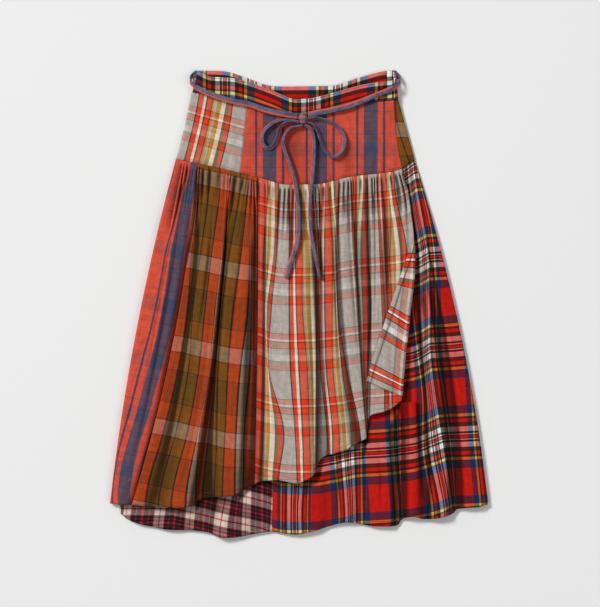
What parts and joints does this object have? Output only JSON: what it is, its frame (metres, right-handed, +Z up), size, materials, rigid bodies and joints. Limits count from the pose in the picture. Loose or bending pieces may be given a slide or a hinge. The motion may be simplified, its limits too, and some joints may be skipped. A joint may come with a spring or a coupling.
{
  "type": "patchwork skirt",
  "caption": "Gathered midi wrap skirt of mixed plaid cloths, laid flat front up, with tartan waistband, pieced yoke, over and under layers and a narrow belt tied in a bow.",
  "frame": {"origin": "on the resting surface under the middle of the skirt's outline", "axes": "+X to the viewer's right across the front, +Y from hem to waist, +Z up from the surface, out of the front"},
  "size_m": [0.663, 0.82, 0.0284],
  "materials": {
    "crimson_tartan": "matte",
    "dove_check": "matte",
    "coral_stripe": "matte",
    "umber_check": "matte",
    "ebony_check": "matte",
    "grape_strap": "matte"
  },
  "bodies": {
    "root": {"waistband_front": "crimson_tartan", "waistband_back": "crimson_tartan", "yoke_front_left": "dove_check", "yoke_front_right": "coral_stripe", "yoke_back": "umber_check", "over_side_panel": "coral_stripe", "over_middle_panel": "umber_check", "over_wrap_panel": "dove_check", "over_wrap_turned_edge": "dove_check", "under_left_panel": "ebony_check", "under_front_panel": "crimson_tartan", "under_back_panel": "crimson_tartan", "belt_round_waist": "grape_strap", "bow_knot": "grape_strap", "bow_loop_left": "grape_strap", "bow_loop_right": "grape_strap", "bow_tail_left": "grape_strap", "bow_tail_right": "grape_strap"}
  },
  "joints": []
}
